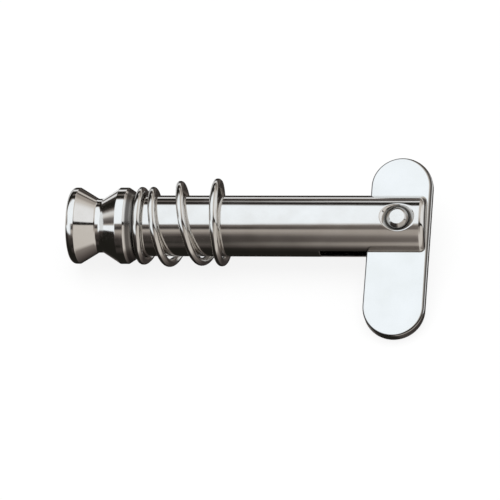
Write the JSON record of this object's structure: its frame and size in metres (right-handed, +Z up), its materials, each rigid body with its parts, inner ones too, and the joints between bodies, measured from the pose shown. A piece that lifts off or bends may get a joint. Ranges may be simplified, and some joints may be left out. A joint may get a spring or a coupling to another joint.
{
  "type": "toggle pin",
  "caption": "Plain cylindrical pin with a waisted knob head, a take-up spring behind the head and a swinging toggle plate riveted in its slotted end.",
  "frame": {"origin": "on the pin's axis where the shank leaves the head", "axes": "+X along the pin from the head to the slotted tip, +Z up as it lies on the spring's widest coil and the toggle's long end"},
  "size_m": [0.0379, 0.0188, 0.0092],
  "materials": {
    "turned_stainless": "turned and polished stainless steel",
    "stamped_stainless": "stamped, tumbled and polished stainless steel sheet",
    "rivet_stainless": "drawn and polished stainless steel",
    "spring_wire": "cold-drawn bright stainless spring wire"
  },
  "bodies": {
    "pin": {"pin_body": "turned_stainless", "cross_rivet": "rivet_stainless", "spring": "spring_wire"},
    "toggle": {"toggle": "stamped_stainless"}
  },
  "joints": [
    {"name": "toggle_pivot", "type": "hinge", "parent": "pin", "child": "toggle", "pos_m": [0.0272, 0, 0], "axis": [0, -0.3075, 0.9515], "range_deg": [-45, 228]}
  ]
}
